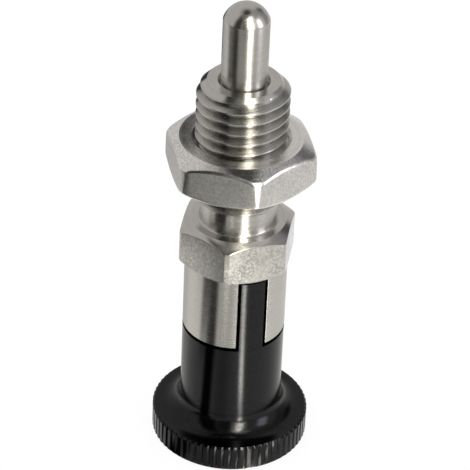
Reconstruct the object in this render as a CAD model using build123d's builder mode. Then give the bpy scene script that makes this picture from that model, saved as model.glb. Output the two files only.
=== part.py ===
from build123d import *
import os
from math import radians, sqrt, tan

# Indexing plunger standing on its pull knob. All lengths are in millimetres.
# The origin is the centre of the knob's end face. +Z runs along the axis to the pin's tip,
# and the knob's two lugs lie on -Y and +Y.

# Heights that stack along the axis, from the knob's end face to the pin's tip
flange_height = 3.7
knob_height = 17.1
knob_gap = 0.4
tube_length = 10.6
hex_height = 6.0
spigot_length = 20.6
pin_reach = 10.9

# Guide sleeve, turned from hexagon bar
hex_flats = 14.0
hex_corner_radius = 0.6
hex_front_face_dia = 12.6
hex_rear_face_dia = 13.8
tube_dia = 13.6
thread_dia = 12.0
thread_chamfer = 1.3
thread_pitch = 1.5
thread_depth = 0.92
thread_crest_flat = 0.19
thread_half_angle = 30.0
groove_turns = 13
groove_lead_in = 0.88
neck_dia = 10.1
neck_length = 3.0
neck_fillet = 0.4
guide_bore_dia = 6.06
guide_length = 6.7
mouth_chamfer = 0.35
chamber_dia = 7.6
slot_width = 4.1
edge_break = 0.15

# Lock nut, a thin hexagon nut chamfered on both sides
nut_flats = 17.9
nut_corner_radius = 1.0
nut_height = 6.0
nut_face_dia = 16.6
nut_bore_dia = 12.06
nut_countersink_dia = 12.9
nut_above_hex = 6.35
nut_turn = 22.2

# Indexing pin with its stop collar and stem
pin_dia = 5.96
pin_dome_radius = 3.12
stop_collar_dia = 7.5
stop_collar_length = 3.0
stem_dia = 4.0
stem_in_knob = 12.0
relief_depth = 0.2
relief_length = 0.7
relief_above_sleeve = 0.1

# Compression spring and the bush that it stands on
wire_dia = 0.7
spring_mean_dia = 6.2
spring_turns = 12
bush_height = 2.0
bush_recess = 0.1
bush_running_clearance = 0.06

# Pull knob: flange, collar and two lugs in one turned and milled piece
flange_dia = 21.0
knob_collar_dia = 13.6
knob_fillet = 2.6
rim_chamfer = 0.25
lug_width = 3.3
lug_length = 10.65
lug_bore_dia = 8.4
knurl_ridges = 66
knurl_groove_width = 0.5
knurl_depth = 0.2

# Fits, the slope of hexagon chamfers, how far a cutter stands outside the work, and the margin
# by which an edge's size is matched
press_interference = 0.01
hexagon_chamfer_angle = 30.0
cutter_margin = 0.1
match_margin = 0.001

# Heights worked out from the stack
sleeve_end = knob_height + knob_gap
hex_bottom = sleeve_end + tube_length
hex_top = hex_bottom + hex_height
spigot_end = hex_top + spigot_length
pin_tip = spigot_end + pin_reach
inner_shoulder = spigot_end - guide_length
stop_collar_bottom = inner_shoulder - stop_collar_length
stem_end = knob_height - stem_in_knob
relief_top = spigot_end + relief_above_sleeve
relief_bottom = relief_top - relief_length
bush_bottom = sleeve_end + bush_recess
bush_top = bush_bottom + bush_height
nut_bottom = hex_top + nut_above_hex
nut_top = nut_bottom + nut_height
thread_start = hex_top + neck_length
thread_full = thread_start + (thread_dia - neck_dia) / 2
groove_start = thread_start - groove_lead_in
dome_start = pin_tip - pin_dome_radius + sqrt(pin_dome_radius**2 - (pin_dia / 2) ** 2)
spring_length = stop_collar_bottom - bush_top
spring_pitch = (spring_length - wire_dia) / spring_turns
knob_fillet_radius_out = knob_collar_dia / 2 + knob_fillet

# Section of the thread's groove, from its flat root out past the crests
groove_root_radius = thread_dia / 2 - thread_depth
groove_mouth_radius = thread_dia / 2 + cutter_margin
groove_flank_slope = tan(radians(thread_half_angle))
groove_root_half = (thread_pitch - thread_crest_flat) / 2 - thread_depth * groove_flank_slope
groove_mouth_half = groove_root_half + (thread_depth + cutter_margin) * groove_flank_slope


def chamfered_hexagon(flats, corner_radius, bottom, top, bottom_dia, top_dia, turn=0.0):
    """Hexagonal prism whose two end faces are turned down to round faces by conical chamfers."""
    past_corners = flats / sqrt(3) + corner_radius
    slope = tan(radians(hexagon_chamfer_angle))
    with BuildPart() as prism:
        with BuildSketch(Plane.XY.offset(bottom)) as section:
            RegularPolygon(flats / 2, 6, major_radius=False, rotation=turn)
            fillet(section.vertices(), corner_radius)
        extrude(amount=top - bottom)
        with BuildSketch(Plane.XZ):
            with BuildLine():
                Polyline(
                    (0, bottom),
                    (bottom_dia / 2, bottom),
                    (past_corners, bottom + (past_corners - bottom_dia / 2) * slope),
                    (past_corners, top - (past_corners - top_dia / 2) * slope),
                    (top_dia / 2, top),
                    (0, top),
                    close=True,
                )
            make_face()
        revolve(axis=Axis.Z, mode=Mode.INTERSECT)
    return prism.part


def at(solid, height, radius):
    """The circular edges of a solid that lie at one height and have one radius."""
    level = solid.edges().filter_by(GeomType.CIRCLE).filter_by_position(
        Axis.Z, height - match_margin, height + match_margin
    )
    return level.filter_by(lambda edge: abs(edge.radius - radius) < match_margin)


os.makedirs("parts", exist_ok=True)

# Threaded spigot of the guide sleeve, on its relief neck. The thread's groove is cut one turn at
# a time, from the open neck out past the end, and the end's chamfer is turned after it.
with BuildPart() as spigot:
    with BuildSketch(Plane.XZ):
        with BuildLine():
            Polyline(
                (0, hex_top),
                (neck_dia / 2, hex_top),
                (neck_dia / 2, thread_start),
                (thread_dia / 2, thread_full),
                (thread_dia / 2, spigot_end),
                (0, spigot_end),
                close=True,
            )
        make_face()
    revolve(axis=Axis.Z)
    for turn in range(groove_turns):
        turn_start = groove_start + turn * thread_pitch
        with BuildLine():
            Helix(thread_pitch, thread_pitch, thread_dia / 2, center=(0, 0, turn_start))
        with BuildSketch(Plane.XZ):
            with BuildLine():
                Polyline(
                    (groove_root_radius, turn_start - groove_root_half),
                    (groove_mouth_radius, turn_start - groove_mouth_half),
                    (groove_mouth_radius, turn_start + groove_mouth_half),
                    (groove_root_radius, turn_start + groove_root_half),
                    close=True,
                )
            make_face()
        sweep(is_frenet=True, mode=Mode.SUBTRACT)
    with BuildSketch(Plane.XZ):
        with BuildLine():
            Polyline(
                (thread_dia / 2 + cutter_margin, spigot_end - thread_chamfer - cutter_margin),
                (thread_dia / 2 + cutter_margin, spigot_end + cutter_margin),
                (thread_dia / 2 - thread_chamfer - cutter_margin, spigot_end + cutter_margin),
                close=True,
            )
        make_face()
    revolve(axis=Axis.Z, mode=Mode.SUBTRACT)

# Guide sleeve: slotted tube, spanner hexagon and threaded spigot in one piece, with a spring
# chamber bored from the rear and a close guide bore for the pin at the front.
with BuildPart() as guide_sleeve:
    add(
        chamfered_hexagon(
            hex_flats,
            hex_corner_radius,
            hex_bottom,
            hex_top,
            hex_rear_face_dia,
            hex_front_face_dia,
        )
    )
    with BuildSketch(Plane.XY.offset(sleeve_end)):
        Circle(tube_dia / 2)
    extrude(amount=tube_length)
    add(spigot.part)
    fillet(at(guide_sleeve.part, hex_top, neck_dia / 2), neck_fillet)
    chamfer(at(guide_sleeve.part, sleeve_end, tube_dia / 2), edge_break)
    with BuildSketch(Plane.XZ):
        with BuildLine():
            Polyline(
                (0, sleeve_end),
                (chamber_dia / 2, sleeve_end),
                (chamber_dia / 2, inner_shoulder),
                (guide_bore_dia / 2, inner_shoulder),
                (guide_bore_dia / 2, spigot_end),
                (0, spigot_end),
                close=True,
            )
        make_face()
    revolve(axis=Axis.Z, mode=Mode.SUBTRACT)
    chamfer(at(guide_sleeve.part, spigot_end, guide_bore_dia / 2), mouth_chamfer)
    with BuildSketch(Plane.XY.offset(sleeve_end)):
        Rectangle(slot_width, 2 * tube_dia)
    extrude(amount=tube_length, mode=Mode.SUBTRACT)
guide_sleeve.part.label = "guide_sleeve"
export_step(guide_sleeve.part, "parts/guide_sleeve.step")

# Lock nut on the spigot. Its bore is countersunk at both mouths.
with BuildPart() as lock_nut:
    add(
        chamfered_hexagon(
            nut_flats,
            nut_corner_radius,
            nut_bottom,
            nut_top,
            nut_face_dia,
            nut_face_dia,
            nut_turn,
        )
    )
    with BuildSketch(Plane.XY.offset(nut_bottom)):
        Circle(nut_bore_dia / 2)
    extrude(amount=nut_height, mode=Mode.SUBTRACT)
    chamfer(
        at(lock_nut.part, nut_bottom, nut_bore_dia / 2) + at(lock_nut.part, nut_top, nut_bore_dia / 2),
        (nut_countersink_dia - nut_bore_dia) / 2,
    )
lock_nut.part.label = "lock_nut"
export_step(lock_nut.part, "parts/lock_nut.step")

# Indexing pin: domed nose, guided shank, stop collar and the thin stem that carries the knob.
# A shallow grinding relief at the sleeve's mouth parts the nose from the guided shank.
with BuildPart() as indexing_pin:
    with BuildSketch(Plane.XZ):
        with BuildLine():
            Polyline(
                (0, pin_tip),
                (0, stem_end),
                (stem_dia / 2, stem_end),
                (stem_dia / 2, stop_collar_bottom),
                (stop_collar_dia / 2, stop_collar_bottom),
                (stop_collar_dia / 2, inner_shoulder),
                (pin_dia / 2, inner_shoulder),
                (pin_dia / 2, relief_bottom),
                (pin_dia / 2 - relief_depth, relief_bottom),
                (pin_dia / 2 - relief_depth, relief_top),
                (pin_dia / 2, relief_top),
                (pin_dia / 2, dome_start),
            )
            RadiusArc((pin_dia / 2, dome_start), (0, pin_tip), -pin_dome_radius)
        make_face()
    revolve(axis=Axis.Z)
indexing_pin.part.label = "indexing_pin"
export_step(indexing_pin.part, "parts/indexing_pin.step")

# Spring bush: a ring pressed into the rear of the chamber, which carries the spring and guides
# the stem.
with BuildPart() as spring_bush:
    with BuildSketch(Plane.XY.offset(bush_bottom)):
        Circle(chamber_dia / 2 + press_interference)
        Circle(stem_dia / 2 + bush_running_clearance, mode=Mode.SUBTRACT)
    extrude(amount=bush_height)
spring_bush.part.label = "spring_bush"
export_step(spring_bush.part, "parts/spring_bush.step")

# Compression spring between the bush and the pin's stop collar, with its ends ground flat.
with BuildPart() as compression_spring:
    with BuildLine() as coil:
        Helix(
            spring_pitch,
            spring_length,
            spring_mean_dia / 2,
            center=(0, 0, bush_top),
        )
    with BuildSketch(Plane(origin=coil.line @ 0, z_dir=coil.line % 0)):
        Circle(wire_dia / 2)
    sweep(is_frenet=True)
    with BuildSketch(Plane.XY.offset(bush_top)):
        Circle(chamber_dia / 2)
    extrude(amount=spring_length, mode=Mode.INTERSECT)
compression_spring.part.label = "compression_spring"
export_step(compression_spring.part, "parts/compression_spring.step")

# Pull knob: the knurled flange flares into the collar, and two lugs stand up from the collar
# into the sleeve's slots. The stem is pressed into the blind hole. The knurl is straight: each
# V groove reaches knurl_depth below the rim and has its stated width at the rim.
with BuildPart() as pull_knob:
    with BuildSketch(Plane.XZ):
        with BuildLine():
            Polyline(
                (knob_collar_dia / 2, flange_height + knob_fillet),
                (knob_collar_dia / 2, knob_height),
                (0, knob_height),
                (0, 0),
                (flange_dia / 2, 0),
                (flange_dia / 2, flange_height),
                (knob_fillet_radius_out, flange_height),
            )
            RadiusArc(
                (knob_fillet_radius_out, flange_height),
                (knob_collar_dia / 2, flange_height + knob_fillet),
                knob_fillet,
            )
        make_face()
    revolve(axis=Axis.Z)
    chamfer(at(pull_knob.part, 0, flange_dia / 2), rim_chamfer)
    chamfer(at(pull_knob.part, flange_height, flange_dia / 2), rim_chamfer)
    with BuildSketch(Plane.XY.offset(knob_height)):
        Circle(knob_collar_dia / 2)
        Circle(lug_bore_dia / 2, mode=Mode.SUBTRACT)
        Rectangle(lug_width, 2 * knob_collar_dia, mode=Mode.INTERSECT)
    extrude(amount=lug_length)
    with BuildSketch(Plane.XY.offset(stem_end)):
        Circle(stem_dia / 2 - press_interference)
    extrude(amount=stem_in_knob, mode=Mode.SUBTRACT)
    with BuildSketch():
        with PolarLocations(flange_dia / 2, knurl_ridges):
            Polygon(
                (-knurl_depth, 0),
                (knurl_depth, -knurl_groove_width),
                (knurl_depth, knurl_groove_width),
                align=None,
            )
    extrude(amount=flange_height, mode=Mode.SUBTRACT)
pull_knob.part.label = "pull_knob"
export_step(pull_knob.part, "parts/pull_knob.step")
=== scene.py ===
from math import acos, cos, pi, radians, sin, tan, tau

import bmesh
import bpy
from mathutils import Matrix, Vector


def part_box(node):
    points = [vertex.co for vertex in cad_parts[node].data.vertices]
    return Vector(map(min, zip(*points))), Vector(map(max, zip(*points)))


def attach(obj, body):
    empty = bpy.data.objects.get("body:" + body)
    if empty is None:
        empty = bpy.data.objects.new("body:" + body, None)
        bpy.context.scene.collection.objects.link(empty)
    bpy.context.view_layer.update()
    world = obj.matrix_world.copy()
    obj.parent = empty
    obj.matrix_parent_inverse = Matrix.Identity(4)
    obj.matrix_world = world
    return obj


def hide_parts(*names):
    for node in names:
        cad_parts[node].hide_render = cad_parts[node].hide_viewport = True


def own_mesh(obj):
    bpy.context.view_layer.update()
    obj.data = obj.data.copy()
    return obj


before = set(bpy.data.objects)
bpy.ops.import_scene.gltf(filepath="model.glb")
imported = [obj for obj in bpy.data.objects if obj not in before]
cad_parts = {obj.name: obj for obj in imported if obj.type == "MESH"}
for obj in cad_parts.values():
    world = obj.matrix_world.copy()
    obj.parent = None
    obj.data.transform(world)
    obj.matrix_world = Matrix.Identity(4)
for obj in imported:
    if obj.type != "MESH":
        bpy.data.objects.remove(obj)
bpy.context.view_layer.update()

mm = 0.001

# --- Camera ---------------------------------------------------------------------------------
# A long lens in front of the part and above it, turned a little off the knob's lugs.
camera_azimuth = radians(-21.6)
camera_distance = 285.374 * mm
camera_height = 224.188 * mm
camera_pitch = 0.595034
camera_yaw = -0.00099
camera_roll = 0.044497
camera_lens = 201.82

camera_data = bpy.data.cameras.new("camera")
camera_data.lens = camera_lens
camera_data.clip_start = 0.01
camera = bpy.data.objects.new("camera", camera_data)
camera.matrix_world = (
    Matrix.Rotation(camera_azimuth, 4, "Z")
    @ Matrix.Translation((0, -camera_distance, camera_height))
    @ Matrix.Rotation(-camera_yaw, 4, "Z")
    @ Matrix.Rotation(pi / 2 - camera_pitch, 4, "X")
    @ Matrix.Rotation(camera_roll, 4, "Z")
)
bpy.context.collection.objects.link(camera)
bpy.context.scene.camera = camera
bpy.context.scene.view_settings.view_transform = "Standard"


# --- Guide sleeve ---------------------------------------------------------------------------
# The body, turned from stainless hexagon bar in one piece: a slotted rear tube, the spanner
# hexagon, a relief neck and the threaded spigot. The hexagon keeps the bar's drawn skin.
sleeve_low, sleeve_high = (corner.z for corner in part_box("guide_sleeve"))
pitch = 1.5 * mm
thread_crest = 6.0 * mm
thread_depth = 0.92 * mm
thread_crest_flat = 0.19 * mm
thread_rounding = 0.02 * mm
# Height at which the middle of a crest stands over the X axis
thread_start = 51.97 * mm
spigot_chamfer = 1.3 * mm
spigot_face = thread_crest - spigot_chamfer
guide_bore = 3.03 * mm
mouth_chamfer = 0.35 * mm
inner_shoulder = 48.0 * mm
neck = 5.05 * mm
neck_fillet = 0.4 * mm
hexagon_low = 28.1 * mm
hexagon_high = 34.1 * mm
hexagon_flats = 14.0 * mm
hexagon_reach = 7.91 * mm
hexagon_turn = radians(30)
hexagon_front_face = 6.3 * mm
hexagon_rear_face = 6.9 * mm
hexagon_edge = 0.14 * mm
hexagon_face_edge = 0.08 * mm
hexagon_rear_edge = 0.05 * mm
neck_top = hexagon_high + 3.0 * mm
# Painted shade in the thread's roots fades in over the rise above the neck, and fades out over the fall up
# to its end below the spigot's face
root_shade_rise = 0.5 * mm
root_shade_end = sleeve_high - 0.6 * mm
root_shade_fall = 0.6 * mm
turned_mouth = sleeve_high - 0.55 * mm
tube = 6.8 * mm
chamber = 3.8 * mm
slot_width = 4.1 * mm
edge_break = 0.15 * mm
slot_edge = 0.08 * mm
slack = 0.01 * mm
upright_limit = 0.05
cone_slope = tan(radians(30))
# Rows of points up one pitch, as shares of it, closest where the thread's section bends
thread_rows = (0, 0.045, 0.057, 0.063, 0.07, 0.08, 0.16, 0.27, 0.38, 0.405, 0.42, 0.44, 0.5)
thread_rows += tuple(1 - row for row in reversed(thread_rows[1:-1]))


def rounded(corners, steps=6):
    """Outline points (radius, height) from corners (radius, height, fillet), each fillet an arc."""
    points = []
    for i, (r, z, fillet) in enumerate(corners):
        if not fillet:
            points.append((r, z))
            continue
        corner = Vector((r, z))
        before = (Vector(corners[i - 1][:2]) - corner).normalized()
        after = (Vector(corners[(i + 1) % len(corners)][:2]) - corner).normalized()
        half = before.angle(after) / 2
        centre = corner + (before + after).normalized() * fillet / sin(half)
        start = corner + before * fillet / tan(half) - centre
        end = corner + after * fillet / tan(half) - centre
        sweep = start.angle_signed(end)
        for step in range(steps + 1):
            spoke = start.copy()
            spoke.rotate(Matrix.Rotation(-sweep * step / steps, 2))
            points.append(tuple(centre + spoke))
    return points


def hexagon_columns(corner_start, turn, flat_columns=12, corner_columns=4):
    """Azimuths round a hexagon, closer together on its corners, which start that far off a flat."""
    corner_step = (pi / 6 - corner_start) / corner_columns
    half = [corner_start * i / flat_columns for i in range(flat_columns)]
    half += [corner_start + corner_step * i for i in range(corner_columns)]
    sector = half + [pi / 6] + [pi / 3 - azimuth for azimuth in reversed(half[1:])]
    return [turn + side * pi / 3 + azimuth for side in range(6) for azimuth in sector]


def off_flat(azimuth, turn):
    """Angle from a direction to the middle of a hexagon's nearest flat."""
    return abs((azimuth - turn + pi / 6) % (pi / 3) - pi / 6)


def helix_rows(azimuth, low, high, limit):
    """Outline points up a bore or shaft whose rows climb one pitch a turn, as a thread does."""
    first = low - 2 * pitch + (thread_start - low) % pitch + pitch * azimuth / tau
    turns = int((high - low) / pitch) + 4
    heights = [first + (turn + row) * pitch for turn in range(turns) for row in thread_rows[:-1]]
    heights = [min(max(height, low), high) for height in heights]
    return [(limit(height), height) for height in heights]


def turned(name, columns, outline):
    """A closed piece made by carrying an outline round the axis. The outline may change as it goes."""
    merge_distance = 1e-8
    mesh = bpy.data.meshes.new(name)
    shape = bmesh.new()
    rings = []
    for azimuth in list(columns) + [columns[0] + tau]:
        points = [(r * cos(azimuth), r * sin(azimuth), z) for r, z in outline(azimuth)]
        rings.append([shape.verts.new(point) for point in points])
    for near, far in zip(rings, rings[1:]):
        for i in range(len(near)):
            j = (i + 1) % len(near)
            shape.faces.new((near[i], near[j], far[j], far[i]))
    bmesh.ops.remove_doubles(shape, verts=shape.verts, dist=merge_distance)
    bmesh.ops.recalc_face_normals(shape, faces=shape.faces)
    shape.to_mesh(mesh)
    shape.free()
    piece = bpy.data.objects.new(name, mesh)
    bpy.context.collection.objects.link(piece)
    return piece


def settle(piece):
    """Makes the piece's modifiers part of its plain mesh."""
    evaluated = piece.evaluated_get(bpy.context.evaluated_depsgraph_get())
    plain = bpy.data.meshes.new_from_object(evaluated)
    piece.modifiers.clear()
    piece.data = plain
    plain.name = piece.name


def smooth(piece, angle=32):
    """Smooth shading, with edges sharper than the angle kept crisp."""
    piece.data.shade_smooth()
    piece.data.set_sharp_from_angle(angle=radians(angle))


def tree_node(tree, kind, links=(), **settings):
    """A node with its settings and values. A link is (input, source socket)."""
    node = tree.nodes.new(kind)
    values = settings.pop("values", {})
    for key, value in settings.items():
        setattr(node, key, value)
    for key, value in values.items():
        node.inputs[key].default_value = value
    for key, source in links:
        tree.links.new(source, node.inputs[key])
    return node


def calculate(tree, operation, *operands):
    """A math node over sockets and plain numbers, and its result."""
    node = tree.nodes.new("ShaderNodeMath")
    node.operation = operation
    for i, operand in enumerate(operands):
        if isinstance(operand, (int, float)):
            node.inputs[i].default_value = operand
        else:
            tree.links.new(operand, node.inputs[i])
    return node.outputs[0]


def open_tree(name, **inputs):
    """A geometry node tree with a Geometry input and output, and the given inputs by name."""
    tree = bpy.data.node_groups.new(name, "GeometryNodeTree")
    make = tree.interface.new_socket
    make("Geometry", in_out="OUTPUT", socket_type="NodeSocketGeometry")
    make("Geometry", in_out="INPUT", socket_type="NodeSocketGeometry")
    for key, kind in inputs.items():
        make(key.replace("_", " ").title(), in_out="INPUT", socket_type="NodeSocket" + kind)
    make("Material", in_out="INPUT", socket_type="NodeSocketMaterial")
    return tree, tree.nodes.new("NodeGroupInput").outputs


def close_tree(tree, geometry, material):
    """Ends a geometry node tree in plain mesh that carries its material."""
    real = tree_node(tree, "GeometryNodeRealizeInstances", [("Geometry", geometry)])
    finish = tree_node(
        tree,
        "GeometryNodeSetMaterial",
        [("Geometry", real.outputs[0]), ("Material", material)],
    )
    tree_node(tree, "NodeGroupOutput", [(0, finish.outputs[0])])


def axis_distance(tree, parts):
    """Distance from the Z axis, from the parts of a position."""
    squares = [calculate(tree, "POWER", parts[i], 2.0) for i in range(2)]
    return calculate(tree, "SQRT", calculate(tree, "ADD", *squares))


def polar_place(tree):
    """A point's position parts, its distance from the axis and its azimuth in turns."""
    place = tree_node(tree, "GeometryNodeInputPosition").outputs[0]
    parts = tree_node(tree, "ShaderNodeSeparateXYZ", [(0, place)]).outputs
    radius = axis_distance(tree, parts)
    azimuth = calculate(tree, "DIVIDE", calculate(tree, "ARCTAN2", parts[1], parts[0]), tau)
    return parts, radius, azimuth


def at_radius(tree, geometry, selected, parts, radius, new_radius):
    """Moves the selected points straight out or in from the axis to a new distance."""
    least_radius = 1e-6
    factor = calculate(tree, "DIVIDE", new_radius, calculate(tree, "MAXIMUM", radius, least_radius))
    sides = [(i, calculate(tree, "MULTIPLY", parts[i], factor)) for i in range(2)]
    place = tree_node(tree, "ShaderNodeCombineXYZ", sides + [(2, parts[2])]).outputs[0]
    links = [("Geometry", geometry), ("Selection", selected), ("Position", place)]
    return tree_node(tree, "GeometryNodeSetPosition", links).outputs[0]


def thread_tree():
    """Geometry nodes that cut a 60 degree V thread into a shaft, or into a bore if Internal is set."""
    tree, given = open_tree(
        "cut_thread",
        pitch="Float",
        start="Float",
        crest_radius="Float",
        crest_flat="Float",
        depth="Float",
        rounding="Float",
        clearance="Float",
        low="Float",
        high="Float",
        outer_limit="Float",
        internal="Bool",
    )
    parts, radius, azimuth = polar_place(tree)
    climb = calculate(tree, "SUBTRACT", parts[2], given["Start"])
    climb = calculate(tree, "SUBTRACT", calculate(tree, "DIVIDE", climb, given["Pitch"]), azimuth)
    whole_turns = 100.0
    phase = calculate(tree, "FRACT", calculate(tree, "ADD", climb, whole_turns))
    from_root = calculate(tree, "ABSOLUTE", calculate(tree, "SUBTRACT", phase, 0.5))
    from_crest = calculate(tree, "MULTIPLY", calculate(tree, "SUBTRACT", 0.5, from_root), given["Pitch"])
    flank = calculate(tree, "SUBTRACT", from_crest, calculate(tree, "MULTIPLY", given["Crest Flat"], 0.5))
    cut = calculate(tree, "MULTIPLY", flank, tan(radians(60)))
    cut = calculate(tree, "SMOOTH_MAX", cut, 0.0, given["Rounding"])
    root_rounding = calculate(tree, "MULTIPLY", given["Rounding"], 3.0)
    cut = calculate(tree, "SMOOTH_MIN", cut, given["Depth"], root_rounding)
    wall = calculate(tree, "SUBTRACT", given["Crest Radius"], cut)
    outside = calculate(tree, "MINIMUM", radius, wall)
    inside = calculate(tree, "MAXIMUM", radius, calculate(tree, "ADD", wall, given["Clearance"]))
    sides = [(0, given["Internal"]), (1, outside), (2, inside)]
    chosen = tree_node(tree, "GeometryNodeSwitch", sides, input_type="FLOAT").outputs[0]
    above = calculate(tree, "GREATER_THAN", parts[2], given["Low"])
    below = calculate(tree, "LESS_THAN", parts[2], given["High"])
    within = calculate(tree, "LESS_THAN", radius, given["Outer Limit"])
    selected = calculate(tree, "MULTIPLY", calculate(tree, "MULTIPLY", above, below), within)
    cut_geometry = at_radius(tree, given["Geometry"], selected, parts, radius, chosen)
    close_tree(tree, cut_geometry, given["Material"])
    return tree


def run_tree(piece, tree, **values):
    """Puts a geometry node tree on a piece, with its named inputs set, and settles it."""
    modifier = piece.modifiers.new(tree.name, "NODES")
    modifier.node_group = tree
    for item in tree.interface.items_tree:
        key = item.name.lower().replace(" ", "_")
        if item.in_out == "INPUT" and key in values:
            modifier[item.identifier] = values[key]
    settle(piece)


def milled(piece, low, high):
    """Cuts a box out of a piece."""
    cutter_mesh = bpy.data.meshes.new("cutter")
    block = bmesh.new()
    bmesh.ops.create_cube(block, size=1)
    for vertex in block.verts:
        vertex.co = Vector(high[axis] if vertex.co[axis] > 0 else low[axis] for axis in range(3))
    block.to_mesh(cutter_mesh)
    block.free()
    cutter = bpy.data.objects.new("cutter", cutter_mesh)
    bpy.context.collection.objects.link(cutter)
    modifier = piece.modifiers.new("mill", "BOOLEAN")
    modifier.operation = "DIFFERENCE"
    modifier.solver = "EXACT"
    modifier.object = cutter
    settle(piece)
    bpy.data.objects.remove(cutter)
    bpy.data.meshes.remove(cutter_mesh)


def bevelled(piece, width, chosen, segments=2):
    """Rounds the edges of a piece that the given test picks."""
    shape = bmesh.new()
    shape.from_mesh(piece.data)
    edges = [edge for edge in shape.edges if chosen(edge)]
    bmesh.ops.bevel(shape, geom=edges, offset=width, segments=segments, affect="EDGES", profile=0.5)
    shape.to_mesh(piece.data)
    shape.free()


def effect(name, inputs, outputs):
    """A shader node group with named inputs and outputs, and its input and output nodes."""
    tree = bpy.data.node_groups.new(name, "ShaderNodeTree")
    for key, (kind, value) in inputs.items():
        socket = tree.interface.new_socket(key, in_out="INPUT", socket_type="NodeSocket" + kind)
        if value is not None:
            socket.default_value = value
    for key, kind in outputs.items():
        tree.interface.new_socket(key, in_out="OUTPUT", socket_type="NodeSocket" + kind)
    return tree, tree.nodes.new("NodeGroupInput").outputs, tree.nodes.new("NodeGroupOutput").inputs


def noise(tree, scale, detail, roughness, **sockets):
    """A noise texture over a vector, or over one number W. Its value stays near a half."""
    kind = "1D" if "W" in sockets else "3D"
    return tree_node(
        tree,
        "ShaderNodeTexNoise",
        list(sockets.items()),
        noise_dimensions=kind,
        values={"Scale": scale, "Detail": detail, "Roughness": roughness},
    ).outputs[0]


def stretched(tree, value, low, high, to_low=0.0, to_high=1.0):
    """A value mapped from one range to another and held inside it."""
    values = {"From Min": low, "From Max": high, "To Min": to_low, "To Max": to_high}
    return tree_node(tree, "ShaderNodeMapRange", [(0, value)], values=values).outputs[0]


def lathe_marks():
    """Rings left by a turning tool, on cylinders, cones and faces about the Z axis.

    Rings lie closer together across a face than along a shaft, by the face feed.
    """
    face_feed = 1.37
    broad_scale = 0.16
    fine_share = 0.55
    inputs = {"Vector": ("Vector", None), "Spacing": ("Float", 0.1 * mm)}
    tree, given, out = effect("lathe_marks", inputs, {"Height": "Float", "Tone": "Float"})
    parts = tree_node(tree, "ShaderNodeSeparateXYZ", [(0, given["Vector"])]).outputs
    across = calculate(tree, "MULTIPLY", axis_distance(tree, parts), face_feed)
    ring = calculate(tree, "DIVIDE", calculate(tree, "ADD", parts[2], across), given["Spacing"])
    fine = noise(tree, 1.0, 2.0, 0.6, W=ring)
    broad = noise(tree, broad_scale, 3.0, 0.6, W=ring)
    tree.links.new(stretched(tree, fine, 0.25, 0.75), out["Height"])
    fine_part = calculate(tree, "MULTIPLY", fine, fine_share)
    broad_part = calculate(tree, "MULTIPLY", broad, 1.0 - fine_share)
    both = calculate(tree, "ADD", fine_part, broad_part)
    tree.links.new(stretched(tree, both, 0.3, 0.7), out["Tone"])
    return tree


def metal_speckle():
    """Fine grain of a drawn, blasted or etched surface, with slow patches over it."""
    stain_growth = 1.3
    inputs = {"Vector": ("Vector", None), "Grain": ("Float", 0.12 * mm), "Patch": ("Float", 3 * mm)}
    outputs = {"Height": "Float", "Tone": "Float", "Patch": "Float"}
    tree, given, out = effect("metal_speckle", inputs, outputs)

    def grains(size, detail):
        scaled = tree_node(tree, "ShaderNodeVectorMath", [(0, given["Vector"])], operation="SCALE")
        tree.links.new(calculate(tree, "DIVIDE", 1.0, size), scaled.inputs["Scale"])
        return noise(tree, 1.0, detail, 0.6, Vector=scaled.outputs[0])

    fine = grains(given["Grain"], 2.0)
    tree.links.new(stretched(tree, fine, 0.25, 0.75), out["Height"])
    stain = grains(calculate(tree, "MULTIPLY", given["Grain"], stain_growth), 1.0)
    tree.links.new(stretched(tree, stain, 0.3, 0.7), out["Tone"])
    patch = grains(given["Patch"], 2.0)
    tree.links.new(stretched(tree, patch, 0.35, 0.65), out["Patch"])
    return tree


marks_group = lathe_marks()
speckle_group = metal_speckle()


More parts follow.
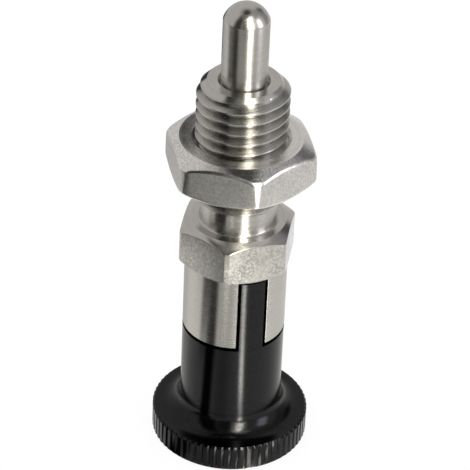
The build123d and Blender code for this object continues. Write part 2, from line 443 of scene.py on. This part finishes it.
def metal(
    name,
    colour,
    roughness,
    spread,
    anisotropy=0.0,
    ring_spacing=0.1 * mm,
    ring_depth=0.0,
    ring_tone=0.0,
    grain=0.12 * mm,
    grain_depth=0.0,
    grain_tone=0.0,
    root_radius=0.0,
    root_shade_tone=1.0,
):
    """A bare or dyed metal with turned rings and fine grain. Roughness varies by spread.

    With a root radius, the colour falls from crest to root in the spigot's thread, to the share given for
    the root: painted shade in the thread's roots.
    """
    patch_tone = 0.05
    material = bpy.data.materials.new(name)
    material.use_nodes = True
    tree = material.node_tree
    shader = tree.nodes["Principled BSDF"]
    shader.inputs["Metallic"].default_value = 1.0
    shader.inputs["Anisotropic"].default_value = anisotropy
    shader.inputs["Anisotropic Rotation"].default_value = 0.25
    if anisotropy:
        tangent = tree_node(tree, "ShaderNodeTangent", direction_type="RADIAL", axis="Z")
        tree.links.new(tangent.outputs[0], shader.inputs["Tangent"])
    place = tree_node(tree, "ShaderNodeTexCoord").outputs["Object"]
    marks = tree_node(
        tree, "ShaderNodeGroup", [("Vector", place)], node_tree=marks_group, values={"Spacing": ring_spacing}
    )
    speckle = tree_node(
        tree, "ShaderNodeGroup", [("Vector", place)], node_tree=speckle_group, values={"Grain": grain}
    )

    # Colour: brighter and darker rings and grains, and slow patches
    tone = 1.0
    shares = (
        (marks.outputs["Tone"], ring_tone),
        (speckle.outputs["Tone"], grain_tone),
        (speckle.outputs["Patch"], patch_tone),
    )
    for pattern, share in shares:
        shaded = calculate(tree, "MULTIPLY", calculate(tree, "SUBTRACT", pattern, 0.5), share)
        tone = calculate(tree, "ADD", shaded, tone)
    # Painted shade: the thread's roots are darkened from crest to root, standing in for the shade in its
    # grooves
    if root_radius:
        parts = tree_node(tree, "ShaderNodeSeparateXYZ", [(0, place)]).outputs
        radius = axis_distance(tree, parts)
        root = stretched(tree, radius, thread_crest, root_radius, 0.0, 1.0 - root_shade_tone)
        above_neck = stretched(tree, parts[2], neck_top, neck_top + root_shade_rise)
        below_face = stretched(tree, parts[2], root_shade_end, root_shade_end - root_shade_fall)
        root = calculate(tree, "MULTIPLY", root, calculate(tree, "MULTIPLY", above_neck, below_face))
        tone = calculate(tree, "MULTIPLY", tone, calculate(tree, "SUBTRACT", 1.0, root))
    shade = tree_node(
        tree, "ShaderNodeVectorMath", operation="SCALE", values={0: colour}, links=[("Scale", tone)]
    )
    tree.links.new(shade.outputs[0], shader.inputs["Base Color"])

    # Roughness: smoother and rougher rings and patches
    uneven = calculate(tree, "ADD", marks.outputs["Tone"], speckle.outputs["Patch"])
    rough = stretched(tree, uneven, 0.0, 2.0, roughness - spread, roughness + spread)
    tree.links.new(rough, shader.inputs["Roughness"])

    # Relief: the rings and the grain
    normal = None
    for height, depth in ((marks.outputs["Height"], ring_depth), (speckle.outputs["Height"], grain_depth)):
        if depth:
            bump = tree_node(tree, "ShaderNodeBump", [("Height", height)], values={"Distance": depth})
            if normal:
                tree.links.new(normal, bump.inputs["Normal"])
            normal = bump.outputs[0]
    if normal:
        tree.links.new(normal, shader.inputs["Normal"])
    return material


stainless = (0.60, 0.585, 0.555)
sleeve_turned_steel = metal(
    "sleeve_turned_steel",
    stainless,
    roughness=0.26,
    spread=0.05,
    anisotropy=0.9,
    ring_depth=0.002 * mm,
    ring_tone=0.16,
    grain_tone=0.12,
    # Painted shade in the thread's roots, from the crest down to this root radius
    root_radius=5.15 * mm,
    root_shade_tone=0.62,
)
sleeve_bar_skin = metal(
    "sleeve_bar_skin",
    stainless,
    roughness=0.27,
    spread=0.05,
    grain=0.26 * mm,
    grain_depth=0.003 * mm,
    grain_tone=0.45,
)
sleeve_face_steel = metal(
    "sleeve_face_steel",
    stainless,
    roughness=0.17,
    spread=0.04,
    anisotropy=0.2,
    ring_depth=0.002 * mm,
    ring_tone=0.14,
    grain_tone=0.1,
)


def sleeve_limit(height):
    """Outer radius of the spigot before its thread is cut, with a 45 degree chamfer at each end."""
    return min(thread_crest, neck + height - neck_top, spigot_face + sleeve_high - height)


def sleeve_outline(azimuth):
    """Section of the sleeve in one direction, from the bore's mouth down inside and up outside."""
    side = hexagon_flats / 2 / cos(off_flat(azimuth, hexagon_turn))
    wide = min(side, hexagon_reach)
    lower = rounded(
        [
            (guide_bore, sleeve_high - mouth_chamfer, 0),
            (guide_bore, inner_shoulder, 0),
            (chamber, inner_shoulder, 0),
            (chamber, sleeve_low, 0),
            (tube - edge_break, sleeve_low, 0),
            (tube, sleeve_low + edge_break, 0),
            (tube, hexagon_low, 0),
            (hexagon_rear_face, hexagon_low, 0),
            (wide, hexagon_low + (wide - hexagon_rear_face) * cone_slope, hexagon_rear_edge),
            (wide, hexagon_high - (wide - hexagon_front_face) * cone_slope, hexagon_edge),
            (hexagon_front_face, hexagon_high, hexagon_face_edge),
            (neck, hexagon_high, neck_fillet),
            (neck, neck_top, 0),
        ]
    )
    threaded = helix_rows(azimuth, neck_top, sleeve_high, sleeve_limit)
    return lower + threaded + [(guide_bore + mouth_chamfer, sleeve_high)]


cut_thread = thread_tree()
hexagon_corner_start = acos(hexagon_flats / 2 / hexagon_reach)
sleeve_columns = hexagon_columns(hexagon_corner_start, hexagon_turn)
sleeve = turned("guide_sleeve_turned", sleeve_columns, sleeve_outline)
run_tree(
    sleeve,
    cut_thread,
    pitch=pitch,
    start=thread_start,
    crest_radius=thread_crest,
    crest_flat=thread_crest_flat,
    depth=thread_depth,
    rounding=thread_rounding,
    clearance=0.0,
    low=neck_top,
    high=sleeve_high,
    outer_limit=1.01 * thread_crest,
    internal=False,
    material=sleeve_turned_steel,
)
milled(
    sleeve,
    (-slot_width / 2, -2 * tube, sleeve_low - mm),
    (slot_width / 2, 2 * tube, hexagon_low),
)


def slot_rim(edge):
    """True for the outside edges of the slots: along the tube and across its end."""
    least_turn = radians(30)
    near = 0.1 * slack
    ends = [vertex.co for vertex in edge.verts]
    beside = all(abs(abs(end.x) - slot_width / 2) < near for end in ends)
    outside = all(end.xy.length > tube - 1.5 * edge_break for end in ends)
    across = all(abs(end.z - sleeve_low) < near for end in ends)
    return beside and (outside or across) and edge.calc_face_angle(0) > least_turn


bevelled(sleeve, slot_edge, slot_rim)
bar_skin_index = 1
face_index = 2
sleeve.data.materials.append(sleeve_bar_skin)
sleeve.data.materials.append(sleeve_face_steel)
for face in sleeve.data.polygons:
    upright = abs(face.normal.z) < upright_limit
    on_hexagon = hexagon_low - slack < face.center.z < hexagon_high + slack
    on_mouth = face.center.z > turned_mouth
    if upright and face.center.xy.length > hexagon_flats / 2 - slack:
        face.material_index = bar_skin_index
    elif not upright and (on_hexagon or on_mouth):
        face.material_index = face_index
smooth(sleeve, angle=26)
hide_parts("guide_sleeve")
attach(sleeve, "sleeve")


# --- Indexing pin ---------------------------------------------------------------------------
# One turned stainless piece: the domed nose, the guided shank with a grinding relief at the
# sleeve's mouth, the stop collar in the spring chamber, and the thin stem down into the knob.
pin_low, pin_high = (corner.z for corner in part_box("indexing_pin"))
pin = 2.98 * mm
pin_dome = 3.12 * mm
relief = 2.78 * mm
relief_low = 54.1 * mm
relief_high = 54.8 * mm
stop_collar = 3.75 * mm
stop_collar_low = 45.0 * mm
stem = 2.0 * mm
stem_edge = 0.2 * mm
stop_root = 0.1 * mm
stop_edge = 0.15 * mm
relief_edge = 0.04 * mm
relief_root = 0.1 * mm
pin_sides = 128
dome_steps = 24
dome_centre = pin_high - pin_dome
dome_edge = acos(pin / pin_dome)
dome_low = dome_centre + pin_dome * sin(dome_edge)


def round_columns(count):
    """Azimuths spaced evenly round the axis."""
    return [tau * i / count for i in range(count)]


def pin_outline(azimuth):
    """Section of the pin, the same in every direction, from the stem's end up to the nose."""
    climbs = [dome_edge + (pi / 2 - dome_edge) * i / dome_steps for i in range(dome_steps)]
    dome = [(pin_dome * cos(climb), dome_centre + pin_dome * sin(climb)) for climb in climbs]
    lower = rounded(
        [
            (0, pin_low, 0),
            (stem, pin_low, stem_edge),
            (stem, stop_collar_low, stop_root),
            (stop_collar, stop_collar_low, stop_edge),
            (stop_collar, inner_shoulder, stop_edge),
            (pin, inner_shoulder, 0),
            (pin, relief_low, relief_edge),
            (relief, relief_low, relief_root),
            (relief, relief_high, relief_root),
            (pin, relief_high, relief_edge),
        ]
    )
    return lower + dome + [(0, pin_high)]


pin_steel = metal(
    "pin_ground_steel",
    stainless,
    roughness=0.30,
    spread=0.05,
    anisotropy=0.9,
    ring_spacing=0.12 * mm,
    ring_depth=0.0015 * mm,
    ring_tone=0.2,
    grain_tone=0.08,
)
nose_steel = metal(
    "pin_polished_nose",
    stainless,
    roughness=0.22,
    spread=0.04,
    ring_spacing=0.1 * mm,
    ring_depth=0.001 * mm,
    ring_tone=0.12,
    grain_tone=0.05,
)
indexing_pin = turned("indexing_pin_turned", round_columns(pin_sides), pin_outline)
indexing_pin.data.materials.append(pin_steel)
indexing_pin.data.materials.append(nose_steel)
for face in indexing_pin.data.polygons:
    face.material_index = int(face.center.z > dome_low)
smooth(indexing_pin)
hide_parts("indexing_pin")
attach(indexing_pin, "plunger")


# --- Compression spring ---------------------------------------------------------------------
# Stainless spring wire wound round the stem between the bush and the stop collar. Its ends are
# ground flat.
spring_low, spring_high = (corner.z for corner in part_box("compression_spring"))
wire = 0.35 * mm
coil = 3.1 * mm
coil_turns = 12.0
steps_per_turn = 40
wire_sides = 12


def spring_tree():
    """Geometry nodes that wind a wire into a spring and grind its two ends flat."""
    tree, given = open_tree(
        "wind_spring", turns="Float", coil_radius="Float", wire_radius="Float", low="Float", high="Float"
    )
    rise = calculate(tree, "SUBTRACT", given["High"], given["Low"])
    path = tree_node(
        tree,
        "GeometryNodeCurveSpiral",
        [
            ("Rotations", given["Turns"]),
            ("Start Radius", given["Coil Radius"]),
            ("End Radius", given["Coil Radius"]),
            ("Height", rise),
        ],
        values={"Resolution": steps_per_turn},
    )
    section = tree_node(
        tree,
        "GeometryNodeCurvePrimitiveCircle",
        [("Radius", given["Wire Radius"])],
        values={"Resolution": wire_sides},
    )
    wound = tree_node(
        tree,
        "GeometryNodeCurveToMesh",
        [("Curve", path.outputs[0]), ("Profile Curve", section.outputs[0])],
        values={"Fill Caps": True},
    )
    place = tree_node(tree, "GeometryNodeInputPosition").outputs[0]
    parts = tree_node(tree, "ShaderNodeSeparateXYZ", [(0, place)]).outputs
    height = calculate(tree, "ADD", parts[2], given["Low"])
    height = calculate(tree, "MINIMUM", calculate(tree, "MAXIMUM", height, given["Low"]), given["High"])
    ground = tree_node(tree, "ShaderNodeCombineXYZ", [(0, parts[0]), (1, parts[1]), (2, height)])
    wire_mesh = tree_node(
        tree, "GeometryNodeSetPosition", [("Geometry", wound.outputs[0]), ("Position", ground.outputs[0])]
    )
    close_tree(tree, wire_mesh.outputs[0], given["Material"])
    return tree


wire_steel = metal(
    "spring_drawn_wire",
    stainless,
    roughness=0.3,
    spread=0.05,
    grain=0.08 * mm,
    grain_depth=0.002 * mm,
    grain_tone=0.15,
)
spring_mesh = bpy.data.meshes.new("compression_spring_wound")
spring = bpy.data.objects.new("compression_spring_wound", spring_mesh)
bpy.context.collection.objects.link(spring)
run_tree(
    spring,
    spring_tree(),
    turns=coil_turns,
    coil_radius=coil,
    wire_radius=wire,
    low=spring_low,
    high=spring_high,
    material=wire_steel,
)
smooth(spring, angle=60)
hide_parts("compression_spring")
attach(spring, "sleeve")
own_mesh(spring)


# --- Spring bush ----------------------------------------------------------------------------
# A turned steel ring pressed into the rear of the spring chamber. It carries the spring and
# guides the stem. The ring itself is as the frame has it.
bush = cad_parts["spring_bush"]
bush_steel = metal(
    "bush_turned_steel",
    (0.56, 0.545, 0.52),
    roughness=0.33,
    spread=0.06,
    anisotropy=0.8,
    ring_depth=0.002 * mm,
    ring_tone=0.15,
    grain_tone=0.1,
)
bush.data.materials.clear()
bush.data.materials.append(bush_steel)


# --- Pull knob ------------------------------------------------------------------------------
# Aluminium, turned and milled in one piece and black anodised: a flange with a straight knurl,
# a collar that flares into it, and two lugs that stand in the sleeve's slots.
knob_low, lug_top = (corner.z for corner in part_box("pull_knob"))
flange = 10.5 * mm
flange_height = 3.7 * mm
rim_chamfer = 0.25 * mm
knob_fillet = 2.6 * mm
knob_fillet_steps = 14
collar = 6.8 * mm
collar_top = 17.1 * mm
lug_bore = 4.2 * mm
lug_width = 3.3 * mm
stem_hole = 1.99 * mm
flange_edge = 0.05 * mm
knurl_ridges = 66
knurl_width = 0.5 * mm
knurl_depth = 0.2 * mm
knurl_reach = 0.4 * mm
knurl_high = flange_height + 0.1 * mm
columns_per_ridge = 8


def knob_outline(azimuth):
    """Section of the knob before its knurl and lugs are cut, the same in every direction."""
    return rounded(
        [
            (0, knob_low, 0),
            (flange - rim_chamfer, knob_low, 0),
            (flange, knob_low + rim_chamfer, 0),
            (flange, flange_height - rim_chamfer, 0),
            (flange - rim_chamfer, flange_height, flange_edge),
            (collar, flange_height, knob_fillet),
            (collar, lug_top, 0),
            (lug_bore, lug_top, 0),
            (lug_bore, collar_top, 0),
            (stem_hole, collar_top, 0),
            (stem_hole, pin_low, 0),
            (0, pin_low, 0),
        ],
        steps=knob_fillet_steps,
    )


def knurl_tree():
    """Geometry nodes that press V grooves, straight along the axis, into a round rim."""
    tree, given = open_tree(
        "press_knurl",
        ridges="Float",
        rim_radius="Float",
        width="Float",
        depth="Float",
        reach="Float",
        high="Float",
    )
    parts, radius, azimuth = polar_place(tree)
    groove_centre = 1000.5
    ridge_count = calculate(tree, "MULTIPLY", azimuth, given["Ridges"])
    groove = calculate(tree, "FRACT", calculate(tree, "ADD", ridge_count, groove_centre))
    aside = calculate(tree, "ABSOLUTE", calculate(tree, "SUBTRACT", groove, 0.5))
    ridge = calculate(tree, "DIVIDE", calculate(tree, "MULTIPLY", given["Rim Radius"], tau), given["Ridges"])
    aside = calculate(tree, "MULTIPLY", aside, ridge)
    slope = calculate(tree, "DIVIDE", given["Depth"], calculate(tree, "MULTIPLY", given["Width"], 0.5))
    rise = calculate(tree, "MULTIPLY", aside, slope)
    floor_radius = calculate(tree, "SUBTRACT", given["Rim Radius"], given["Depth"])
    pressed = calculate(tree, "MINIMUM", radius, calculate(tree, "ADD", floor_radius, rise))
    low_enough = calculate(tree, "LESS_THAN", parts[2], given["High"])
    inner_limit = calculate(tree, "SUBTRACT", given["Rim Radius"], given["Reach"])
    outer = calculate(tree, "GREATER_THAN", radius, inner_limit)
    selected = calculate(tree, "MULTIPLY", low_enough, outer)
    rim = at_radius(tree, given["Geometry"], selected, parts, radius, pressed)
    close_tree(tree, rim, given["Material"])
    return tree


knob_anodised = metal(
    "knob_black_anodised",
    (0.030, 0.030, 0.032),
    roughness=0.14,
    spread=0.02,
    anisotropy=0.7,
    ring_spacing=0.16 * mm,
    ring_depth=0.0015 * mm,
    ring_tone=0.2,
    grain=0.14 * mm,
    grain_depth=0.003 * mm,
    grain_tone=0.5,
)
knob_columns = round_columns(knurl_ridges * columns_per_ridge)
knob = turned("pull_knob_turned", knob_columns, knob_outline)
run_tree(
    knob,
    knurl_tree(),
    ridges=float(knurl_ridges),
    rim_radius=flange,
    width=knurl_width,
    depth=knurl_depth,
    reach=knurl_reach,
    high=knurl_high,
    material=knob_anodised,
)
for side in (-1, 1):
    inner, outer = sorted((side * lug_width / 2, side * 2 * flange))
    milled(knob, (inner, -2 * flange, collar_top), (outer, 2 * flange, lug_top + mm))
smooth(knob)
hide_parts("pull_knob")
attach(knob, "plunger")


# --- Lock nut -------------------------------------------------------------------------------
# A thin stainless hexagon nut, turned on both faces, that locks the spigot in its plate. It is
# chamfered on both sides, and its bore is countersunk at both mouths.
nut_low, nut_high = (corner.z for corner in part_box("lock_nut"))
nut_flats = 17.9 * mm
nut_reach_high = 9.97 * mm
nut_reach_low = 10.14 * mm
nut_side_steps = 4
nut_face = 8.0 * mm
nut_turn = radians(52.2)
nut_corner_start = radians(27.6)
nut_roll_start = 3.9 * mm
nut_roll = 0.085 / mm
nut_crown = tan(radians(3))
nut_edge_high = 0.75 * mm
nut_edge_low = 0.6 * mm
nut_face_edge = 0.12 * mm
nut_countersink = 6.45 * mm
nut_bore = 5.19 * mm
nut_clearance = 0.04 * mm
nut_upright_limit = 0.15
nut_cone_low = nut_face - 0.05 * mm
nut_skin_low = nut_flats / 2 - 0.4 * mm


def nut_limit(height):
    """Inner radius of the nut before its thread is cut, countersunk at 45 degrees at each end."""
    return max(nut_bore, nut_countersink - (height - nut_low), nut_countersink - (nut_high - height))


def nut_side(azimuth):
    """Distance from the axis to the drawn bar's side: a flat that rolls off near its corners."""
    angle = off_flat(azimuth, nut_turn)
    past_start = max(nut_flats / 2 * tan(angle) - nut_roll_start, 0.0)
    return (nut_flats / 2 - nut_roll * past_start**2) / cos(angle)


def nut_outline(azimuth):
    """Section of the nut in one direction, down its outside and up its bore."""
    side = nut_side(azimuth)
    high = min(side, nut_reach_high)
    low = min(side, nut_reach_low)
    crown_high = nut_high - (nut_face - nut_countersink) * nut_crown
    side_high = crown_high - (high - nut_face) * cone_slope
    side_low = nut_low + (low - nut_face) * cone_slope
    upright = []
    for step in range(1, nut_side_steps):
        height = side_high + (side_low - side_high) * step / nut_side_steps
        reach = nut_reach_high + (nut_reach_low - nut_reach_high) * step / nut_side_steps
        upright.append((min(side, reach), height, 0))
    outer = rounded(
        [
            (nut_countersink, nut_high, 0),
            (nut_face, crown_high, nut_face_edge),
            (high, side_high, nut_edge_high),
            *upright,
            (low, side_low, nut_edge_low),
            (nut_face, nut_low, nut_face_edge),
            (nut_countersink, nut_low, 0),
        ]
    )
    return outer + helix_rows(azimuth, nut_low, nut_high, nut_limit)


# Painted light: both nut colours are brighter copies of the sleeve's stainless, standing in for light
# falling on the nut; the turned faces are painted brighter than the drawn skin
nut_skin_metal_painted_light = (0.74, 0.725, 0.70)
nut_turned_metal_painted_light = (0.84, 0.825, 0.80)
nut_turned_steel = metal(
    "nut_turned_steel",
    nut_turned_metal_painted_light,
    roughness=0.27,
    spread=0.05,
    anisotropy=0.4,
    ring_depth=0.0015 * mm,
    ring_tone=0.2,
    grain_tone=0.08,
)
nut_bar_skin = metal(
    "nut_bar_skin",
    nut_skin_metal_painted_light,
    roughness=0.34,
    spread=0.05,
    grain=0.24 * mm,
    grain_depth=0.006 * mm,
    grain_tone=0.3,
)
nut_cone_steel = metal(
    "nut_cone_steel",
    nut_turned_metal_painted_light,
    roughness=0.2,
    spread=0.04,
    ring_depth=0.001 * mm,
    ring_tone=0.12,
    grain=0.2 * mm,
    grain_depth=0.004 * mm,
    grain_tone=0.35,
)
nut_columns = hexagon_columns(nut_corner_start, nut_turn, flat_columns=16, corner_columns=8)
nut = turned("lock_nut_turned", nut_columns, nut_outline)
run_tree(
    nut,
    cut_thread,
    pitch=pitch,
    start=thread_start,
    crest_radius=thread_crest,
    crest_flat=thread_crest_flat,
    depth=thread_depth,
    rounding=thread_rounding,
    clearance=nut_clearance,
    low=nut_low,
    high=nut_high,
    outer_limit=1.001 * nut_countersink,
    internal=True,
    material=nut_turned_steel,
)
nut.data.materials.append(nut_bar_skin)
nut.data.materials.append(nut_cone_steel)
for face in nut.data.polygons:
    upright = abs(face.normal.z) <= nut_upright_limit
    reach = face.center.xy.length
    if upright and reach > nut_skin_low:
        face.material_index = bar_skin_index
    elif not upright and reach > nut_cone_low:
        face.material_index = face_index
smooth(nut, angle=14)
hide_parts("lock_nut")
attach(nut, "nut")


# --- Floor and light ------------------------------------------------------------------------
# A pale floor and an even studio for the metal to mirror: a tall key strip and softer ones on the
# right, dark cloths on the left and overhead. Two near cards, one under the floor and one behind
# the spigot, show only in mirroring surfaces.
floor_reach = 1.5
floor_glow = 1.15
floor_glow_share = 0.8
plain_light = 0.6
card_radius = 70 * mm
card_edge = 0.88 * card_radius
card_depth = mm
flag_inner = -5.6 * mm
flag_outer = -13.5 * mm
flag_behind = 14 * mm
flag_low = 49.5 * mm
flag_high = 61.5 * mm
to_degrees = 180 / pi


def level_square(reach, height):
    """Corners of a level square about the Z axis."""
    return [(x * reach, y * reach, height) for x, y in ((-1, -1), (1, -1), (1, 1), (-1, 1))]


def blank_material(name):
    """A material with an empty node tree, and the tree."""
    material = bpy.data.materials.new(name)
    material.use_nodes = True
    material.node_tree.nodes.clear()
    return material, material.node_tree


def sheet(name, corners, material):
    """A flat four-cornered sheet."""
    mesh = bpy.data.meshes.new(name)
    mesh.from_pydata(corners, [], [(0, 1, 2, 3)])
    mesh.materials.append(material)
    flat = bpy.data.objects.new(name, mesh)
    bpy.context.collection.objects.link(flat)
    return flat


paper, tree = blank_material("paper")
lit = tree_node(tree, "ShaderNodeBsdfDiffuse", values={"Color": (0.8, 0.8, 0.8, 1)})
glow = tree_node(tree, "ShaderNodeEmission", values={"Color": (1, 1, 1, 1), "Strength": floor_glow})
path = tree_node(tree, "ShaderNodeLightPath")
seen = calculate(tree, "MULTIPLY", path.outputs["Is Camera Ray"], floor_glow_share)
mix = tree_node(tree, "ShaderNodeMixShader", [(0, seen), (1, lit.outputs[0]), (2, glow.outputs[0])])
tree_node(tree, "ShaderNodeOutputMaterial", [(0, mix.outputs[0])])
floor = sheet("floor", level_square(floor_reach, 0), paper)
floor.visible_glossy = False


def panel_mask():
    """1 inside a patch of the surroundings, given by azimuth and elevation, and 0 outside it."""
    names = ("Heading", "Elevation", "Azimuth", "Half Width", "Low", "High", "Soft")
    tree, given, out = effect("studio_panel", {name: ("Float", 0.0) for name in names}, {"Mask": "Float"})
    away = calculate(tree, "SUBTRACT", given["Heading"], given["Azimuth"])
    away = calculate(tree, "ABSOLUTE", calculate(tree, "WRAP", away, 180.0, -180.0))
    edges = [
        calculate(tree, "SUBTRACT", given["Half Width"], away),
        calculate(tree, "SUBTRACT", given["High"], given["Elevation"]),
        calculate(tree, "SUBTRACT", given["Elevation"], given["Low"]),
    ]
    mask = 1.0
    for edge in edges:
        links = [(0, edge), (2, given["Soft"]), (1, calculate(tree, "MULTIPLY", given["Soft"], -1.0))]
        step = tree_node(tree, "ShaderNodeMapRange", links, interpolation_type="SMOOTHSTEP").outputs[0]
        mask = calculate(tree, "MULTIPLY", step, mask)
    tree.links.new(mask, out["Mask"])
    return tree


panel_group = panel_mask()


def painted(tree, forward, elevation, base, panels):
    """The base colour with each panel laid over it. Azimuths count from the camera, to its right."""
    parts = tree_node(tree, "ShaderNodeSeparateXYZ", [(0, forward)]).outputs
    heading = calculate(tree, "ARCTAN2", parts[0], calculate(tree, "MULTIPLY", parts[1], -1.0))
    heading = calculate(tree, "MULTIPLY", heading, to_degrees)
    heading = calculate(tree, "SUBTRACT", heading, camera_azimuth * to_degrees)
    colour = tree_node(tree, "ShaderNodeRGB").outputs[0]
    colour.default_value = (*base, 1)
    for azimuth, half_width, low, high, soft, tint in panels:
        sizes = {"Azimuth": azimuth, "Half Width": half_width, "Low": low, "High": high, "Soft": soft}
        looked = [("Heading", heading), ("Elevation", elevation)]
        panel = tree_node(tree, "ShaderNodeGroup", looked, node_tree=panel_group, values=sizes)
        over = [("Factor", panel.outputs[0]), (6, colour)]
        colour = tree_node(tree, "ShaderNodeMix", over, data_type="RGBA", values={7: (*tint, 1)}).outputs[2]
    return colour


def mirrored_card(name, corners, material):
    """A flat card that shows only where polished metal mirrors it."""
    card = sheet(name, corners, material)
    card.visible_camera = False
    card.visible_diffuse = False
    card.visible_shadow = False
    card.visible_transmission = False


card_paper, tree = blank_material("card_paper")
place = tree_node(tree, "ShaderNodeTexCoord").outputs["Object"]
away = tree_node(tree, "ShaderNodeVectorMath", [(0, place)], operation="LENGTH").outputs["Value"]
near = stretched(tree, away, card_radius, card_edge)
away_mm = calculate(tree, "DIVIDE", away, mm)
card_base = (0.82, 0.81, 0.78)
card_panels = [
    # azimuth, half width, nearest, farthest, softness, colour
    (-145.0, 25.0, 0.0, 90.0, 10.0, (0.62, 0.61, 0.60)),
    (163.0, 10.0, 0.0, 90.0, 5.0, (1.3, 1.3, 1.4)),
    (-18.0, 14.0, 0.0, 90.0, 12.0, (0.45, 0.445, 0.42)),
    (-47.0, 10.0, 0.0, 90.0, 4.0, (0.03, 0.03, 0.03)),
    (-52.0, 19.0, 30.0, 90.0, 4.0, (0.02, 0.02, 0.02)),
    (-16.0, 5.5, 49.0, 55.0, 3.0, (3.6, 3.5, 3.3)),
    (20.0, 8.0, 0.0, 90.0, 6.0, (1.35, 1.31, 1.17)),
    (20.0, 3.0, 0.0, 90.0, 3.0, (6.0, 5.8, 5.3)),
    (20.3, 3.0, 22.0, 90.0, 3.0, (15.0, 14.5, 13.1)),
]
card_colour = painted(tree, place, away_mm, card_base, card_panels)
clear_sheet = tree_node(tree, "ShaderNodeBsdfTransparent")
glow = tree_node(tree, "ShaderNodeEmission", [("Color", card_colour)])
mix = tree_node(tree, "ShaderNodeMixShader", [(0, near), (1, clear_sheet.outputs[0]), (2, glow.outputs[0])])
tree_node(tree, "ShaderNodeOutputMaterial", [(0, mix.outputs[0])])
mirrored_card("near_card", level_square(card_radius, -card_depth), card_paper)

flag_cloth, tree = blank_material("flag_cloth")
glow = tree_node(tree, "ShaderNodeEmission", values={"Color": (0.04, 0.04, 0.038, 1)})
tree_node(tree, "ShaderNodeOutputMaterial", [(0, glow.outputs[0])])
turn = Matrix.Rotation(camera_azimuth, 3, "Z")
sides = ((flag_outer, flag_low), (flag_inner, flag_low), (flag_inner, flag_high), (flag_outer, flag_high))
flag_corners = [turn @ Vector((across, flag_behind, height)) for across, height in sides]
mirrored_card("back_flag", flag_corners, flag_cloth)

studio_base = (0.57, 0.555, 0.545)
studio_panels = [
    # azimuth, half width, low, high, softness, colour
    (0.0, 360.0, -90.0, -6.0, 6.0, (0.70, 0.69, 0.67)),
    (-150.0, 32.0, -90.0, -6.0, 10.0, (0.50, 0.49, 0.485)),
    (0.0, 360.0, 64.0, 90.0, 6.0, (0.36, 0.355, 0.35)),
    (120.0, 16.0, -8.0, 64.0, 9.0, (0.30, 0.30, 0.31)),
    (137.0, 9.0, 18.0, 42.0, 6.0, (0.08, 0.08, 0.08)),
    (85.0, 24.0, 46.0, 74.0, 5.0, (0.36, 0.355, 0.35)),
    (-22.0, 46.0, 54.0, 76.0, 7.0, (0.20, 0.197, 0.185)),
    (0.0, 360.0, 75.0, 90.0, 3.0, (0.02, 0.02, 0.018)),
    (-60.0, 27.0, -90.0, -2.0, 8.0, (0.03, 0.03, 0.026)),
    (-44.0, 19.0, -4.0, 60.0, 7.0, (0.03, 0.03, 0.026)),
    (-10.0, 24.0, -90.0, -4.0, 7.0, (0.36, 0.355, 0.33)),
    (-8.0, 16.0, -4.0, 54.0, 8.0, (0.15, 0.147, 0.125)),
    (45.0, 12.0, -90.0, 0.0, 5.0, (0.55, 0.54, 0.53)),
    (45.0, 12.0, 0.0, 60.0, 5.0, (0.62, 0.60, 0.56)),
    (71.0, 10.0, 2.0, 38.0, 5.0, (3.0, 2.95, 3.3)),
    (22.0, 9.0, -90.0, -4.0, 6.0, (1.6, 1.55, 1.38)),
    (22.0, 3.0, -90.0, -4.0, 3.0, (4.0, 3.88, 3.5)),
    (21.0, 12.5, 2.0, 60.0, 7.0, (3.5, 3.4, 3.1)),
    (38.0, 13.0, 52.0, 67.0, 3.0, (2.2, 2.15, 2.0)),
    (22.5, 6.5, 8.0, 58.0, 2.0, (15.5, 14.9, 13.0)),
]
world = bpy.data.worlds.new("studio")
bpy.context.scene.world = world
world.use_nodes = True
tree = world.node_tree
tree.nodes.clear()
direction = tree_node(tree, "ShaderNodeTexCoord").outputs["Generated"]
parts = tree_node(tree, "ShaderNodeSeparateXYZ", [(0, direction)]).outputs
elevation = calculate(tree, "MULTIPLY", calculate(tree, "ARCSINE", parts[2]), to_degrees)
studio_colour = painted(tree, direction, elevation, studio_base, studio_panels)
mirrored = tree_node(tree, "ShaderNodeBackground", [("Color", studio_colour)])
plain = tree_node(tree, "ShaderNodeBackground", values={"Color": (1, 1, 1, 1), "Strength": plain_light})
glossy = tree_node(tree, "ShaderNodeLightPath").outputs["Is Glossy Ray"]
mix = tree_node(
    tree, "ShaderNodeMixShader", [(0, glossy), (1, plain.outputs[0]), (2, mirrored.outputs[0])]
)
tree_node(tree, "ShaderNodeOutputWorld", [(0, mix.outputs[0])])
